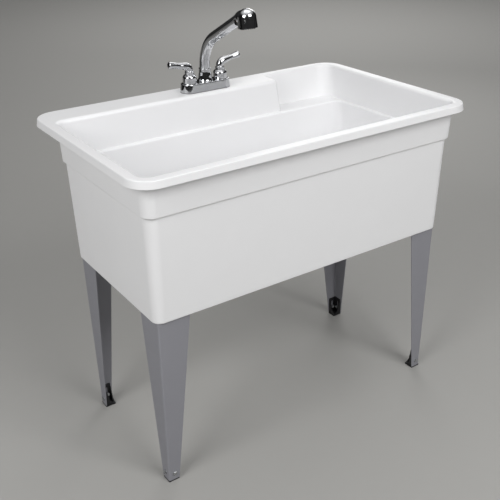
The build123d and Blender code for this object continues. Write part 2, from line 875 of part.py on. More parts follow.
for name, side in tap_sides.items():
    x = side * handle_spacing / 2
    upright = Plane(origin=(x, tap_y, base_top), x_dir=(1, 0, 0), z_dir=(0, -1, 0))
    spindle = Axis((x, tap_y, 0), (0, 0, 1))
    with BuildPart() as bell:
        with BuildSketch(upright):
            with BuildLine():
                Polyline((0, bell_height), (0, 0), (bell_radius, 0), (bell_radius, bell_foot))
                Spline(
                    (bell_radius, bell_foot),
                    (bell_top_radius, bell_height),
                    tangents=((0, 1), (-1, 1)),
                )
                Line((bell_top_radius, bell_height), (0, bell_height))
            make_face()
        revolve(axis=spindle)
        with BuildSketch(upright):
            with BuildLine():
                Polyline(
                    (0, 0),
                    (bell_radius - bell_shell, 0),
                    (bell_radius - bell_shell, bell_foot),
                    (valve_neck_radius + neck_clearance, bell_height - bell_shell),
                    (valve_neck_radius + neck_clearance, bell_height),
                    (0, bell_height),
                    close=True,
                )
            make_face()
        revolve(axis=spindle, mode=Mode.SUBTRACT)
    finish(bell.part, name + "_bell")

    # Heights above the base.
    skirt_foot = bell_height + turning_gap
    column_top = skirt_foot + handle_skirt_height
    elbow_start = bell_height + handle_elbow_height - elbow_setback
    stem_end = bell_height + stem_top
    screw_level = base_top + skirt_foot + handle_skirt_height / 2
    elbow = Vector(x, tap_y, base_top + bell_height + handle_elbow_height)
    lever_way = Vector(side, 0, lever_slope).normalized()
    lever_profile = Plane(origin=elbow, x_dir=lever_way, z_dir=(0, -1, 0))
    with BuildPart() as handle:
        # Skirt and neck on the valve, up to the elbow.
        with BuildSketch(upright):
            with BuildLine():
                Polyline(
                    (0, elbow_start),
                    (0, skirt_foot),
                    (handle_skirt_radius, skirt_foot),
                    (handle_skirt_radius, column_top),
                )
                Spline(
                    (handle_skirt_radius, column_top),
                    (handle_neck_radius, column_top + neck_flare),
                    (elbow_radius, elbow_start),
                    tangents=((-1, 1), (0, 1)),
                )
                Line((elbow_radius, elbow_start), (0, elbow_start))
            make_face()
        revolve(axis=spindle)
        # Elbow.
        with BuildSketch(Plane.XY.offset(base_top + elbow_start)):
            with Locations((x, tap_y)):
                Circle(elbow_radius)
        bend_centre = (x + side * elbow_bend, tap_y, base_top + elbow_start)
        revolve(axis=Axis(bend_centre, (0, side, 0)), revolution_arc=quarter_turn - lever_rise)
        # Lever, waisted and flared to a domed tip.
        tip_start = lever_length - lever_tip_dome
        with BuildSketch(lever_profile):
            with BuildLine():
                Line((elbow_setback, 0), (elbow_setback, elbow_radius))
                Spline(
                    (elbow_setback, elbow_radius),
                    (lever_waist_reach, lever_waist_radius),
                    (tip_start, lever_tip_radius),
                    tangents=((1, 0), (1, 0)),
                )
                EllipticalCenterArc((tip_start, 0), lever_tip_dome, lever_tip_radius,
                                    start_angle=0, arc_size=quarter_turn)
                Line((lever_length, 0), (elbow_setback, 0))
            make_face()
        revolve(axis=Axis(elbow, lever_way))
        # Bores for the stem and for its screw.
        with BuildSketch(Plane.XY.offset(base_top + skirt_foot)):
            with Locations((x, tap_y)):
                Circle(stem_radius + thread_clearance)
        extrude(amount=stem_end - skirt_foot, mode=Mode.SUBTRACT)
        with BuildSketch(Plane.XZ.offset(-tap_y)):
            with Locations((x, screw_level)):
                Circle(screw_radius + thread_clearance)
        extrude(amount=-handle_skirt_radius - screw_radius, mode=Mode.SUBTRACT)
    finish(handle.part, name + "_handle")

    with BuildPart() as stem:
        with BuildSketch(Plane.XY.offset(stem_foot)):
            with Locations((x, tap_y)):
                Circle(stem_radius)
        extrude(amount=base_top + stem_end - stem_foot)
    finish(stem.part, name + "_stem")

    with BuildPart() as screw:
        with BuildSketch(Plane.XZ.offset(-tap_y - stem_radius - thread_clearance)):
            with Locations((x, screw_level)):
                Circle(screw_radius)
        extrude(amount=-screw_length)
    finish(screw.part, name + "_set_screw")

hub_profile = Plane(origin=(0, tap_y, base_top), x_dir=(1, 0, 0), z_dir=(0, -1, 0))
spout_spindle = Axis((0, tap_y, 0), (0, 0, 1))
with BuildPart() as spout_hub:
    with BuildSketch(hub_profile):
        with BuildLine():
            Polyline((0, hub_height), (0, 0), (hub_radius, 0), (hub_radius, hub_bead))
            Spline(
                (hub_radius, hub_bead),
                (hub_waist_radius, hub_height / 2),
                (hub_top_radius, hub_height),
                tangents=((-1, 2), (0, 1)),
            )
            Line((hub_top_radius, hub_height), (0, hub_height))
        make_face()
    revolve(axis=spout_spindle)
    with BuildSketch(Plane.XY.offset(base_top + hub_floor)):
        with Locations(tap_axis):
            Circle(spout_radius + turning_gap)
    extrude(amount=hub_height, mode=Mode.SUBTRACT)
    with BuildSketch(Plane.XY.offset(base_top)):
        with Locations(tap_axis):
            Circle(riser_radius + neck_clearance)
    extrude(amount=hub_height, mode=Mode.SUBTRACT)
finish(spout_hub.part, "spout_hub")


# ================================================================ spout and hose

with BuildPart() as spout_tube:
    with BuildSketch(Plane.XY.offset(spout_foot)) as tube_section:
        with Locations(tap_axis):
            Circle(spout_radius)
            Circle(spout_radius - spout_wall, mode=Mode.SUBTRACT)
    sweep(tube_section.sketch, path=spout_path(spout_foot, spout_run))
finish(spout_tube.part, "spout_tube")

with BuildPart() as spout_collar:
    with BuildSketch(Plane.XY.offset(base_top + hub_height + turning_gap)):
        with Locations(tap_axis):
            Circle(collar_radius)
            Circle(spout_radius + thread_clearance, mode=Mode.SUBTRACT)
    extrude(amount=collar_height)
    fillet(spout_collar.edges().group_by(Axis.Z)[-1].sort_by(SortBy.RADIUS)[-1], collar_edge)
finish(spout_collar.part, "spout_collar")

hose_foot = rim_height - hose_tail
hose_run = spout_run - head_spigot_length + hose_socket_depth
with BuildPart() as spray_hose:
    with BuildSketch(Plane.XY.offset(hose_foot)) as hose_section:
        with Locations(tap_axis):
            Circle(hose_radius)
    sweep(hose_section.sketch, path=spout_path(hose_foot, hose_run))
finish(spray_hose.part, "spray_hose")

with BuildPart() as hose_coupling:
    coupling_foot = hose_foot + hose_socket_depth - coupling_length
    with BuildSketch(Plane.XY.offset(coupling_foot)):
        with Locations(tap_axis):
            RegularPolygon(coupling_flats / 2, 6, major_radius=False)
            Circle(connector_bore, mode=Mode.SUBTRACT)
    extrude(amount=coupling_length)
    with BuildSketch(Plane.XY.offset(hose_foot)):
        with Locations(tap_axis):
            Circle(hose_radius + thread_clearance)
    extrude(amount=hose_socket_depth, mode=Mode.SUBTRACT)
finish(hose_coupling.part, "hose_coupling")


# ================================================================ spray head

tilt = radians(head_tilt)
head_up = Vector(0, sin(tilt), cos(tilt))
head_mouth = spout_point(spout_run + head_axis_reach) - head_up * head_axis_height
mouth_plane = Plane(origin=head_mouth, x_dir=(1, 0, 0), z_dir=head_up)
bell_profile = Plane(origin=head_mouth, x_dir=(1, 0, 0), z_dir=(0, -cos(tilt), sin(tilt)))
neck_profile = Plane(origin=spout_point(spout_run), x_dir=spout_way, z_dir=(-1, 0, 0))
head_axis = Axis(head_mouth, head_up)
spigot_radius = spout_radius - spout_wall - turning_gap
chamber_radius = face_radius - face_ledge


def dome_points(inset):
    """Points on the head's dome, an ellipse from the shoulder to the crown."""
    across = chamber_radius if inset else head_shoulder_radius
    rise = head_height - inset - head_shoulder_height
    turns = [radians(quarter_turn) * step / dome_steps for step in range(1, dome_steps)]
    return [(across * cos(turn), head_shoulder_height + rise * sin(turn)) for turn in turns]


with BuildPart() as head_shell:
    # Bell with a domed top.
    with BuildSketch(bell_profile):
        with BuildLine():
            Polyline((0, 0), (head_mouth_radius, 0), (head_shoulder_radius, head_shoulder_height))
            Spline((head_shoulder_radius, head_shoulder_height), *dome_points(0), (0, head_height),
                   tangents=((0, 1), (-1, 0)))
            Line((0, head_height), (0, 0))
        make_face()
    revolve(axis=head_axis)
    # Neck on the spout's line, with its spigot in the tube.
    with BuildSketch(neck_profile):
        with BuildLine():
            Polyline(
                (head_axis_reach + head_neck_radius, 0),
                (-head_spigot_length, 0),
                (-head_spigot_length, spigot_radius),
                (turning_gap, spigot_radius),
                (turning_gap, spout_radius),
            )
            Spline(
                (turning_gap, spout_radius),
                (head_flare_reach, head_flare_radius),
                (head_axis_reach, head_neck_radius),
                tangents=((1, 0), (1, 0)),
            )
            CenterArc((head_axis_reach, 0), head_neck_radius, 0, quarter_turn)
        make_face()
    revolve(axis=Axis(spout_point(spout_run), spout_way))
    # Recess for the face and the chamber behind it.
    with BuildSketch(bell_profile):
        with BuildLine():
            Polyline(
                (0, 0),
                (face_radius + thread_clearance, 0),
                (face_radius + thread_clearance, face_recess),
                (chamber_radius, face_recess),
                (chamber_radius, head_shoulder_height),
            )
            Spline((chamber_radius, head_shoulder_height), *dome_points(head_shell_wall),
                   (0, head_height - head_shell_wall), tangents=((0, 1), (-1, 0)))
            Line((0, head_height - head_shell_wall), (0, 0))
        make_face()
    revolve(axis=head_axis, mode=Mode.SUBTRACT)
    # Bore for the hose's connector.
    with BuildSketch(Plane(origin=spout_point(spout_run - head_spigot_length), z_dir=spout_way)):
        Circle(connector_radius + thread_clearance)
    extrude(amount=head_spigot_length + head_axis_reach, mode=Mode.SUBTRACT)
    # Grip flutes that fade out towards the shoulder.
    with BuildSketch(mouth_plane.offset(flute_foot)):
        with PolarLocations(head_mouth_radius - flute_depth + flute_radius, flute_count):
            Circle(flute_radius)
    extrude(amount=flute_length, mode=Mode.SUBTRACT)
finish(head_shell.part, "head_shell")

with BuildPart() as hose_connector:
    with BuildSketch(Plane(origin=spout_point(spout_run - head_spigot_length), z_dir=spout_way)):
        Circle(connector_radius)
        Circle(connector_bore, mode=Mode.SUBTRACT)
    extrude(amount=connector_length)
    with BuildSketch(Plane(origin=spout_point(spout_run - head_spigot_length), z_dir=spout_way)):
        Circle(hose_radius + hose_socket_clearance)
    extrude(amount=hose_socket_depth, mode=Mode.SUBTRACT)
finish(hose_connector.part, "hose_connector")

with BuildPart() as spray_face:
    with BuildSketch(mouth_plane.offset(-face_proud)):
        Circle(face_radius)
    extrude(amount=face_proud + face_recess)
    fillet(spray_face.edges().sort_by(head_axis)[0], face_edge)
    with BuildSketch(mouth_plane.offset(-face_proud)):
        for count, ring in nozzle_rings:
            with PolarLocations(ring, count):
                Circle(nozzle_radius)
    extrude(amount=-nozzle_height)
finish(spray_face.part, "spray_face")
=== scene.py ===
import json
from math import cos, radians, sin, tan

import bmesh
import bpy
from bpy.props import FloatProperty, FloatVectorProperty, IntProperty, PointerProperty
from bpy.types import Operator, Panel, PropertyGroup
from mathutils import Matrix, Vector


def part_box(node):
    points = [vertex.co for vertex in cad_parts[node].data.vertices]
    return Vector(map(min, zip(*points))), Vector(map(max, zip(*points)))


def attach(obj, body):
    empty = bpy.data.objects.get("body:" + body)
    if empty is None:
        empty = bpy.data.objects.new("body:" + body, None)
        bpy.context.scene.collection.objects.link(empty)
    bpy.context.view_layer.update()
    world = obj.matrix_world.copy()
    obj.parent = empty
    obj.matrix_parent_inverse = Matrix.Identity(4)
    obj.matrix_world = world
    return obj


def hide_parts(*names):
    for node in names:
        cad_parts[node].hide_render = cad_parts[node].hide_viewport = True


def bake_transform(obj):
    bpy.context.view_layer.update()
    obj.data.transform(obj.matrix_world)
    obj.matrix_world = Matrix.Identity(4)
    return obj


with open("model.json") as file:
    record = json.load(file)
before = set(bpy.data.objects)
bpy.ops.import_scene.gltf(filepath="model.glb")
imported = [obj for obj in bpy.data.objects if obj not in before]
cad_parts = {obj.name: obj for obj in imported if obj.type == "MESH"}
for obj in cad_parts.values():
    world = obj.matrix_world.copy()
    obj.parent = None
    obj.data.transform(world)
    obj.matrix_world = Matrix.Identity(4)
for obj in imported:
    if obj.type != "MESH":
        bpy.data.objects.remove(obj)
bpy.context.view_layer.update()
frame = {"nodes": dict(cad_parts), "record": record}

bl_info = {
    "name": "Utility Laundry Sink",
    "version": (1, 0, 0),
    "blender": (4, 5, 0),
    "location": "3D View > Sidebar > Laundry Sink",
    "description": "Finishes and details for a free-standing utility laundry sink",
    "category": "Object",
}

MM = 0.001

# The tap's upright axis, and the height of the rim that it stands on.
TAP_Y = (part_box("waterway")[0][1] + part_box("waterway")[1][1]) / 2
RIM_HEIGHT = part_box("tub")[1][2]


# ---------------------------------------------------------------- colour and nodes

def linear(hex_colour):
    """Linear colour of an sRGB hex value."""
    channels = [int(hex_colour[i:i + 2], 16) / 255 for i in (0, 2, 4)]
    return tuple(c / 12.92 if c <= 0.04045 else ((c + 0.055) / 1.055) ** 2.4 for c in channels)


def toned(colour, share):
    """A colour made darker or lighter by a share, with its alpha."""
    return (*[min(channel * share, 1.0) for channel in colour], 1.0)


def add_node(tree, kind, settings=(), values=(), links=()):
    """Adds a node with its settings, its socket values and the outputs that feed it."""
    node = tree.nodes.new(kind)
    for key, value in dict(settings).items():
        setattr(node, key, value)
    for key, value in dict(values).items():
        node.inputs[key].default_value = value
    for key, source in dict(links).items():
        tree.links.new(source, node.inputs[key])
    return node


def grained(name, colour, spread, gloss, grain_mm, depth_mm, cloud_mm, metallic=0.0, strength=0.4):
    """Surface whose tone clouds over cloud_mm, and whose gloss and relief follow a finer grain."""
    material = bpy.data.materials.new(name)
    material.use_nodes = True
    tree = material.node_tree
    tree.nodes.clear()
    place = add_node(tree, "ShaderNodeTexCoord").outputs["Object"]
    cloud = add_node(tree, "ShaderNodeTexNoise", values={"Scale": 1000 / cloud_mm, "Detail": 2.0},
                     links={"Vector": place})
    grain = add_node(tree, "ShaderNodeTexNoise", values={"Scale": 1000 / grain_mm, "Detail": 3.0},
                     links={"Vector": place})
    tone = add_node(tree, "ShaderNodeMix", settings={"data_type": "RGBA"},
                    values={"A": toned(colour, 1 - spread), "B": toned(colour, 1 + spread)},
                    links={"Factor": cloud.outputs["Fac"]})
    sheen = add_node(tree, "ShaderNodeMapRange",
                     values={"From Min": 0.3, "From Max": 0.7, "To Min": gloss[0], "To Max": gloss[1]},
                     links={"Value": grain.outputs["Fac"]})
    relief = add_node(tree, "ShaderNodeBump", values={"Strength": strength, "Distance": depth_mm * MM},
                      links={"Height": grain.outputs["Fac"]})
    shader = add_node(tree, "ShaderNodeBsdfPrincipled", values={"Metallic": metallic},
                      links={"Base Color": tone.outputs["Result"], "Roughness": sheen.outputs["Result"],
                             "Normal": relief.outputs["Normal"]})
    add_node(tree, "ShaderNodeOutputMaterial", links={"Surface": shader.outputs["BSDF"]})
    return material


# ---------------------------------------------------------------- finishes

def moulded_polypropylene():
    """Filled polypropylene from a satin mould: a soft sheen over a faint orange peel of 2 mm."""
    colour = bpy.context.scene.laundry_sink_colours.tub
    return grained("moulded_polypropylene", colour, 0.012, (0.34, 0.44), 2, 0.04, 90, strength=0.3)


def powder_coated_steel():
    """Powder coat on folded sheet: the coat flows out to a satin peel about 1.5 mm across."""
    colour = bpy.context.scene.laundry_sink_colours.legs
    return grained("powder_coated_steel", colour, 0.03, (0.48, 0.6), 1.5, 0.05, 60)


def moulded_nylon():
    """Black nylon from a spark-eroded mould: a fine dull grain of 0.8 mm."""
    colour = bpy.context.scene.laundry_sink_colours.feet
    return grained("moulded_nylon", colour, 0.2, (0.42, 0.58), 0.8, 0.05, 12)


def polished_chrome():
    """Chrome plate on polished brass: a near mirror with the faint wander of hand buffing."""
    return grained("polished_chrome", linear("CBCCCE"), 0.02, (0.035, 0.07), 16, 0.002, 40, 1.0, 0.2)


def zinc_plate():
    """Bright zinc plate on rolled-thread fasteners: cloudy, with a soft gleam."""
    return grained("zinc_plate", linear("C4C6C8"), 0.06, (0.2, 0.34), 3, 0.02, 5, 1.0)


def turned_stainless():
    """Stainless steel turned and polished: bright, with a light haze."""
    return grained("turned_stainless", linear("C2C3C4"), 0.04, (0.14, 0.26), 5, 0.01, 12, 1.0)


def machined_brass():
    """Machined brass, dulled by handling."""
    return grained("machined_brass", linear("BE9B5B"), 0.08, (0.24, 0.38), 4, 0.02, 9, 1.0)


def moulded_rubber():
    """Black moulded rubber with a dull bloom."""
    return grained("moulded_rubber", linear("1E1E1F"), 0.15, (0.6, 0.8), 2, 0.05, 14)


def pressed_fibre():
    """Pressed fibre ring: short brown fibres that lie flat."""
    return grained("pressed_fibre", linear("957550"), 0.12, (0.75, 0.9), 1, 0.08, 5)


def moulded_nut_plastic():
    """White nuts from a plain mould, a little yellower than the tub."""
    return grained("moulded_nut_plastic", linear("DFDED8"), 0.03, (0.38, 0.5), 1.5, 0.04, 20)


def grey_acetal():
    """Dark grey acetal of the spray face and the hose's cover."""
    return grained("grey_acetal", linear("505154"), 0.06, (0.35, 0.5), 1, 0.03, 10)


def studio_paint():
    """Matt roller paint of the studio floor."""
    colour = bpy.context.scene.laundry_sink_studio.floor
    return grained("studio_paint", colour, 0.01, (0.88, 0.96), 40, 0.05, 900)


FINISHES = {
    "tub_plastic": moulded_polypropylene,
    "leg_steel": powder_coated_steel,
    "foot_plastic": moulded_nylon,
    "zinc_steel": zinc_plate,
    "stainless_steel": turned_stainless,
    "rubber": moulded_rubber,
    "fibre": pressed_fibre,
    "nut_plastic": moulded_nut_plastic,
    "chrome": polished_chrome,
    "brass": machined_brass,
    "grey_plastic": grey_acetal,
}
SLOT_OF = {entry["node"]: entry["material_slot"] for entry in frame["record"]["subparts"]}


def finish_of(slot):
    """The finish of a material slot, made once."""
    maker = FINISHES[slot]
    return bpy.data.materials.get(maker.__name__) or maker()


# ---------------------------------------------------------------- modelling tools

def clear_table():
    """Leaves edit mode and deselects everything, ready for a new piece."""
    if bpy.context.mode != "OBJECT":
        bpy.ops.object.mode_set(mode="OBJECT")
    bpy.ops.object.select_all(action="DESELECT")


def select_faces(test):
    """Selects the faces of the open mesh whose middle and normal pass a test."""
    bpy.ops.mesh.select_mode(type="FACE")
    bpy.ops.mesh.select_all(action="DESELECT")
    mesh = bmesh.from_edit_mesh(bpy.context.object.data)
    for face in mesh.faces:
        if test(face.calc_center_median(), face.normal):
            face.select_set(True)
    bmesh.update_edit_mesh(bpy.context.object.data)


def select_points(test):
    """Selects the points of the open mesh that pass a test, and the edges between them."""
    bpy.ops.mesh.select_mode(type="VERT")
    bpy.ops.mesh.select_all(action="DESELECT")
    mesh = bmesh.from_edit_mesh(bpy.context.object.data)
    for point in mesh.verts:
        if test(point.co):
            point.select_set(True)
    mesh.select_flush(True)
    bmesh.update_edit_mesh(bpy.context.object.data)


def draw_out(way):
    """Extrudes what is selected along a way."""
    bpy.ops.mesh.extrude_region_move(TRANSFORM_OT_translate={"value": way})


def open_ring():
    """Opens a new ring of points for modelling, with all of it selected."""
    bpy.ops.object.mode_set(mode="EDIT")
    bpy.ops.mesh.select_mode(type="VERT")
    bpy.ops.mesh.select_all(action="SELECT")


def close_mesh():
    """Merges doubles, turns the faces outwards and leaves edit mode."""
    bpy.ops.mesh.select_all(action="SELECT")
    bpy.ops.mesh.remove_doubles(threshold=0.00001)
    bpy.ops.mesh.normals_make_consistent(inside=False)
    bpy.ops.object.mode_set(mode="OBJECT")
    if not bpy.context.object.data.polygons:
        raise RuntimeError(f"{bpy.context.object.name} came out with no faces")


def apply_place(piece, crease=30):
    """Applies a piece's place to its mesh and smooths it up to its creases."""
    clear_table()
    piece.select_set(True)
    bpy.context.view_layer.objects.active = piece
    bpy.ops.object.transform_apply(location=True, rotation=True, scale=True)
    bpy.ops.object.shade_smooth_by_angle(angle=radians(crease))


def copy_to(pattern, name, matrix):
    """Copy of a modelled piece with its own mesh, set in place."""
    piece = pattern.copy()
    piece.data = pattern.data.copy()
    piece.data.transform(matrix)
    piece.name = name
    bpy.context.collection.objects.link(piece)
    return piece


def hand_over(piece, name, slot, body, *nodes):
    """Names a finished piece and gives it its finish, its body and the nodes that it stands for."""
    piece.name = name
    piece.data.name = name
    piece.data.materials.clear()
    piece.data.materials.append(finish_of(slot))
    if nodes:
        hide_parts(*nodes)
    if body:
        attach(piece, body)


def add_thread(root, crest, pitch, low, high, bore=0.0, segments=32):
    """Ridged thread between two heights on the Z axis, with a bore if it has one."""
    clear_table()
    bpy.ops.mesh.primitive_circle_add(vertices=segments, radius=root, location=(0, 0, low))
    open_ring()
    turns = round((high - low) / pitch)
    half = (high - low) / turns / 2
    for _ in range(turns):
        for scale in (crest / root, root / crest):
            bpy.ops.mesh.extrude_region_move(TRANSFORM_OT_translate={"value": (0, 0, half)})
            bpy.ops.transform.resize(value=(scale, scale, 1))
    if bore:
        bpy.ops.mesh.extrude_region_move(TRANSFORM_OT_translate={"value": (0, 0, 0)})
        bpy.ops.transform.resize(value=(bore / root, bore / root, 1))
        bpy.ops.mesh.extrude_region_move(TRANSFORM_OT_translate={"value": (0, 0, low - high)})
        select_points(lambda point: abs(point.z) < half / 4)
        bpy.ops.mesh.select_mode(type="EDGE")
        bpy.ops.mesh.bridge_edge_loops()
    else:
        bpy.ops.mesh.select_all(action="SELECT")
        bpy.ops.mesh.fill_holes(sides=0)
    close_mesh()
    return bpy.context.object


# ---------------------------------------------------------------- settings

class LaundrySinkColours(PropertyGroup):
    tub: FloatVectorProperty(
        name="Tub", description="Colour of the moulded tub",
        default=linear("EEEEEF"), subtype="COLOR", min=0, max=1)
    legs: FloatVectorProperty(
        name="Legs", description="Colour of the powder coat on the legs",
        default=linear("8D8D93"), subtype="COLOR", min=0, max=1)
    feet: FloatVectorProperty(
        name="Feet", description="Colour of the moulded feet",
        default=linear("1A1A1C"), subtype="COLOR", min=0, max=1)


class LaundrySinkLevellers(PropertyGroup):
    flats: FloatProperty(
        name="Across flats", description="Width of the bolt heads and nuts across their flats",
        default=11 * MM, unit="LENGTH")
    head_height: FloatProperty(
        name="Head height", description="Height of a bolt's head", default=4 * MM, unit="LENGTH")
    collar_radius: FloatProperty(
        name="Collar radius", description="Radius of the pressed collar under a bolt's head",
        default=6.6 * MM, unit="LENGTH")
    shank_radius: FloatProperty(
        name="Shank radius", description="Radius over a bolt's thread", default=3 * MM, unit="LENGTH")
    shank_length: FloatProperty(
        name="Shank length", description="Length of a bolt under its head",
        default=12.5 * MM, unit="LENGTH")
    pitch: FloatProperty(
        name="Pitch", description="Distance from thread to thread", default=1 * MM, unit="LENGTH")
    nut_depth: FloatProperty(
        name="Nut depth", description="From a leg's outer face to its nut",
        default=5.5 * MM, unit="LENGTH")
    nut_height: FloatProperty(
        name="Nut height", description="Height of a nut", default=5 * MM, unit="LENGTH")
    rise: FloatProperty(
        name="Rise", description="Height of the bolts above the floor", default=24 * MM, unit="LENGTH")
    reach: FloatProperty(
        name="Reach", description="From a leg's fold to its bolts", default=17.5 * MM, unit="LENGTH")
    back_lean: FloatProperty(
        name="Back lean", description="How far a back leg's foot stands in front of its top",
        default=22.5 * MM, unit="LENGTH")


class LaundrySinkSpray(PropertyGroup):
    bend_height: FloatProperty(
        name="Bend height", description="Height of the spout's corner above the rim",
        default=127 * MM, unit="LENGTH")
    bend_radius: FloatProperty(
        name="Bend radius", description="Radius of the spout's bend", default=105 * MM, unit="LENGTH")
    rise: FloatProperty(
        name="Rise", description="Slope of the spout above the level",
        default=radians(27.5), subtype="ANGLE")
    run: FloatProperty(
        name="Run", description="From the spout's corner to its end", default=190 * MM, unit="LENGTH")
    hose_radius: FloatProperty(
        name="Hose radius", description="Outer radius of the hose", default=6 * MM, unit="LENGTH")
    socket_depth: FloatProperty(
        name="Socket depth", description="How far the hose ends short of the spout's end",
        default=6 * MM, unit="LENGTH")
    axis_reach: FloatProperty(
        name="Head reach", description="From the spout's end to the head's axis",
        default=53.5 * MM, unit="LENGTH")
    axis_height: FloatProperty(
        name="Head height", description="From the head's mouth to the spout's line",
        default=34.5 * MM, unit="LENGTH")
    tilt: FloatProperty(
        name="Tilt", description="Lean of the head's mouth", default=radians(9), subtype="ANGLE")
    face_radius: FloatProperty(
        name="Face radius", description="Radius of the spray face", default=22 * MM, unit="LENGTH")
    nozzle_radius: FloatProperty(
        name="Nozzle radius", description="Radius of a nozzle's foot", default=1.3 * MM, unit="LENGTH")
    rings: IntProperty(
        name="Nozzle rings", description="Number of rings of nozzles", default=3, min=1, max=3)
    ring_radius: FloatProperty(
        name="Inner ring", description="Radius of the inner ring of nozzles",
        default=6.5 * MM, unit="LENGTH")
    ring_gap: FloatProperty(
        name="Ring gap", description="From one ring of nozzles to the next",
        default=5.75 * MM, unit="LENGTH")


class LaundrySinkThreads(PropertyGroup):
    inlet_radius: FloatProperty(
        name="Inlet radius", description="Radius over the thread of a tap inlet",
        default=10.7 * MM, unit="LENGTH")
    inlet_pitch: FloatProperty(
        name="Inlet pitch", description="Distance from thread to thread on an inlet",
        default=1.8 * MM, unit="LENGTH")
    drain_radius: FloatProperty(
        name="Drain radius", description="Radius over the thread of the drain's body",
        default=22.8 * MM, unit="LENGTH")
    drain_pitch: FloatProperty(
        name="Drain pitch", description="Distance from thread to thread on the drain",
        default=2.2 * MM, unit="LENGTH")
    depth: FloatProperty(
        name="Thread depth", description="From a thread's crest to its root",
        default=0.5 * MM, unit="LENGTH")


class LaundrySinkStudio(PropertyGroup):
    floor: FloatVectorProperty(
        name="Floor", description="Colour of the studio floor",
        default=linear("A5A4A1"), subtype="COLOR", min=0, max=1)
    daylight: FloatProperty(
        name="Daylight", description="Level of the even light all round", default=0.22, min=0)
    azimuth: FloatProperty(
        name="Azimuth", description="Direction the camera looks along, from the front",
        default=radians(-34.28479), subtype="ANGLE")
    elevation: FloatProperty(
        name="Elevation", description="Height of the camera above the level",
        default=radians(26.88485), subtype="ANGLE")
    roll: FloatProperty(
        name="Roll", description="Turn of the camera about its own axis",
        default=radians(-0.65745), subtype="ANGLE")
    distance: FloatProperty(
        name="Distance", description="From the camera to the point it looks at",
        default=2.25117, unit="LENGTH")
    target: FloatVectorProperty(
        name="Target", description="Point the camera looks at",
        default=(-0.008449, 0.01722, 0.438964), subtype="TRANSLATION", unit="LENGTH")
    focal_ratio: FloatProperty(
        name="Focal ratio", description="Focal length as a share of the picture's width",
        default=772.438 / 500)


# ---------------------------------------------------------------- pieces

class SINK_OT_dress_frame(Operator):
    """Gives each construction node the finish of its material"""

    bl_idname = "laundry_sink.dress_frame"
    bl_label = "Finish the construction nodes"

    def execute(self, context):
        for node, piece in frame["nodes"].items():
            finish = finish_of(SLOT_OF[node])
            for slot in piece.material_slots:
                slot.material = finish
            if not piece.material_slots:
                piece.data.materials.append(finish)
        return {"FINISHED"}


class SINK_OT_levellers(Operator):
    """Adds the levelling bolts and nuts at the foot of each leg"""

    bl_idname = "laundry_sink.levellers"
    bl_label = "Levelling bolts and nuts"

    def execute(self, context):
        sizes = context.scene.laundry_sink_levellers
        corner_radius = sizes.flats / 2 / cos(radians(30))

        # Bolt: thread, pressed collar and a head with broken corners, pointing up the Z axis.
        shank = add_thread(0.86 * sizes.shank_radius, sizes.shank_radius, sizes.pitch,
                           -sizes.shank_length, 0.0, segments=20)
        clear_table()
        bpy.ops.mesh.primitive_cylinder_add(
            vertices=6, radius=corner_radius, depth=sizes.head_height,
            location=(0, 0, sizes.head_height / 2))
        head = context.object
        bpy.ops.object.mode_set(mode="EDIT")
        top = sizes.head_height / 2
        select_faces(lambda middle, normal: normal.z > 0.9)
        bpy.ops.mesh.bevel(offset=0.09 * sizes.flats, segments=3, affect="EDGES")
        select_faces(lambda middle, normal: normal.z > 0.9 and middle.z > 0.9 * top)
        bpy.ops.mesh.inset(thickness=0.16 * sizes.flats, depth=-0.05 * sizes.flats)
        close_mesh()
        clear_table()
        bpy.ops.mesh.primitive_cylinder_add(
            vertices=36, radius=sizes.collar_radius, depth=0.3 * sizes.head_height,
            location=(0, 0, 0.15 * sizes.head_height))
        collar = context.object
        bpy.ops.object.mode_set(mode="EDIT")
        select_faces(lambda middle, normal: normal.z > 0.9)
        bpy.ops.mesh.bevel(offset=0.12 * sizes.head_height, segments=2, affect="EDGES")
        close_mesh()
        for part in (shank, head, collar):
            apply_place(part)
        clear_table()
        for part in (shank, collar, head):
            part.select_set(True)
        context.view_layer.objects.active = head
        bpy.ops.object.join()
        bolt = context.object

        # Nut: six flats with both rims broken.
        clear_table()
        bpy.ops.mesh.primitive_cylinder_add(
            vertices=6, radius=corner_radius, depth=sizes.nut_height,
            location=(0, 0, -sizes.nut_depth - sizes.nut_height / 2))
        nut = context.object
        bpy.ops.object.mode_set(mode="EDIT")
        select_faces(lambda middle, normal: abs(normal.z) > 0.9)
        bpy.ops.mesh.bevel(offset=0.07 * sizes.flats, segments=2, affect="EDGES")
        close_mesh()
        apply_place(nut)

        for place in ("front_left", "front_right", "back_left", "back_right"):
            side = -1 if "left" in place else 1
            end = -1 if "front" in place else 1
            low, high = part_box(place + "_leg")
            x = low[0] if side < 0 else high[0]
            lean = 0.0 if end < 0 else sizes.back_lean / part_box("tub")[0][2]
            y = low[1] if end < 0 else high[1] - lean * (high[2] - sizes.rise)
            fold = Vector((0, lean, 1)).normalized()
            faces = (
                ("side", Vector((x, y - end * sizes.reach, sizes.rise)), Vector((side, 0, 0))),
                ("end", Vector((x - side * sizes.reach, y, sizes.rise)),
                 Vector((0, end * fold.z, -end * fold.y))),
            )
            for face, spot, outwards in faces:
                across = outwards.cross(fold)
                matrix = Matrix((fold, across, outwards)).transposed().to_4x4()
                matrix.translation = spot
                for pattern, kind, node in (
                        (bolt, "bolt", "leveller_bolts"), (nut, "nut", "leveller_nuts")):
                    name = f"{place}_{face}_{kind}"
                    hand_over(copy_to(pattern, name, matrix), name, "zinc_steel", "base", node)
        bpy.data.objects.remove(bolt)
        bpy.data.objects.remove(nut)
        return {"FINISHED"}


